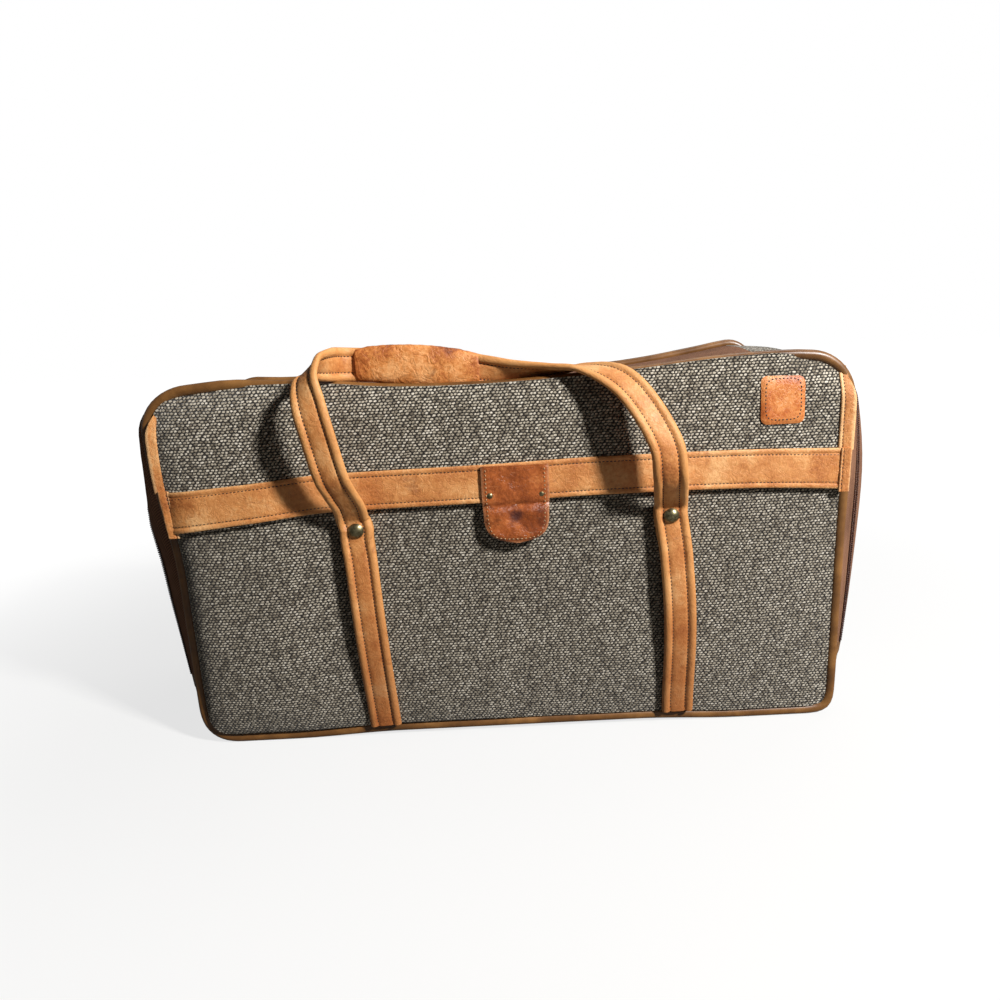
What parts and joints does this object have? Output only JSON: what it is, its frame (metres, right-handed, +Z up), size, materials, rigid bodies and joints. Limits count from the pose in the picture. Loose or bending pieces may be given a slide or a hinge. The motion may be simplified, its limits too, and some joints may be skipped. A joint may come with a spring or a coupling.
{
  "type": "soft-sided travel case",
  "caption": "Soft-sided tweed travel case with leather trim, zip-round front lid, flapped front pocket with snap tongue, and two riveted strap handles, one with a wrapped grip shown raised",
  "frame": {"origin": "on the floor, under the middle of the flat base", "axes": "+X to the right as seen from the front, the front panel faces -Y, +Z up"},
  "size_m": [0.584, 0.2753, 0.3265],
  "materials": {
    "tweed": "coarse basket-weave wool tweed, cream and charcoal, over a stiff board",
    "twill": "brown twill zip tape and boxing",
    "lining": "plain tan lining cloth",
    "vinyl": "brown vinyl piping",
    "coil": "dark red-brown nylon coil",
    "leather": "worn natural tan leather, stitched",
    "red_leather": "glossier red-brown leather",
    "grip_leather": "wrinkled orange-brown leather",
    "brass": "antique brass"
  },
  "bodies": {
    "case": {"rear_panel": "tweed", "rear_lining": "lining", "rear_piping": "vinyl", "top_boxing": "twill", "side_boxing_left": "tweed", "side_boxing_right": "tweed", "bottom_boxing": "tweed", "base_board": "lining", "boxing_lining": "lining", "case_tape": "twill", "case_coil": "coil", "zip_ends": "vinyl", "rear_strap_left": "leather", "rear_strap_right": "leather", "rear_rivets": "brass"},
    "lid": {"front_panel": "tweed", "lid_lining": "lining", "front_piping": "vinyl", "lid_tape": "twill", "lid_coil": "coil", "pocket_panel": "tweed", "pocket_hem": "vinyl", "snap_stud": "brass", "front_strap_left": "leather", "front_strap_right": "leather", "front_rivets": "brass"},
    "flap": {"flap_tweed": "tweed", "flap_lining": "lining", "flap_binding_left": "leather", "flap_binding_right": "leather", "flap_band": "leather", "flap_roll": "tweed", "corner_patch": "red_leather", "tongue_base": "red_leather", "tongue_rivets": "brass"},
    "tongue": {"tongue_tip": "red_leather", "snap_socket": "brass"},
    "front_handle": {"front_leg_left": "leather", "front_leg_right": "leather", "front_leg_ends": "leather", "front_run": "leather", "front_grip": "grip_leather"},
    "rear_handle": {"rear_leg_left": "leather", "rear_leg_right": "leather", "rear_leg_ends": "leather", "rear_run": "leather", "rear_grip": "grip_leather"},
    "slider_l": {"slider_left": "brass"},
    "slider_r": {"slider_right": "brass"},
    "pull_l": {"pull_left": "brass"},
    "pull_r": {"pull_right": "brass"}
  },
  "joints": [
    {"name": "lid_hinge", "type": "hinge", "parent": "case", "child": "lid", "pos_m": [0, -0.093, 0.007], "axis": [1, 0, 0], "range_deg": [0, 66]},
    {"name": "flap_lift", "type": "hinge", "parent": "lid", "child": "flap", "pos_m": [0, -0.1005, 0.284], "axis": [-1, 0, 0], "range_deg": [0, 100]},
    {"name": "tongue_lift", "type": "hinge", "parent": "flap", "child": "tongue", "pos_m": [0.005, -0.11028, 0.201], "axis": [-1, 0, 0], "range_deg": [0, 80]},
    {"name": "front_handle_swing", "type": "hinge", "parent": "lid", "child": "front_handle", "pos_m": [0.00275, -0.11199, 0.187], "axis": [1, 0, 0], "range_deg": [0, 120]},
    {"name": "rear_handle_swing", "type": "hinge", "parent": "case", "child": "rear_handle", "pos_m": [0.00275, 0.1034, 0.187], "axis": [1, 0, 0], "range_deg": [0, 165]},
    {"name": "slider_left_run", "type": "slide", "parent": "case", "child": "slider_l", "axis": [-1, 0, 0], "range_m": [0, 0.238]},
    {"name": "slider_right_run", "type": "slide", "parent": "case", "child": "slider_r", "axis": [1, 0, 0], "range_m": [0, 0.158]},
    {"name": "pull_left_tilt", "type": "hinge", "parent": "slider_l", "child": "pull_l", "pos_m": [0.033, -0.0672, 0.2996], "axis": [0, 1, 0], "range_deg": [0, 110]},
    {"name": "pull_right_tilt", "type": "hinge", "parent": "slider_r", "child": "pull_r", "pos_m": [0.047, -0.0672, 0.2996], "axis": [0, -1, 0], "range_deg": [0, 110]}
  ],
  "couplings": [
    {"joint": "flap_lift", "follows": "front_handle_swing", "ratio": 0.8},
    {"joint": "slider_left_run", "follows": "lid_hinge", "m_per_rad": 0.2066},
    {"joint": "slider_right_run", "follows": "lid_hinge", "m_per_rad": 0.1371}
  ]
}
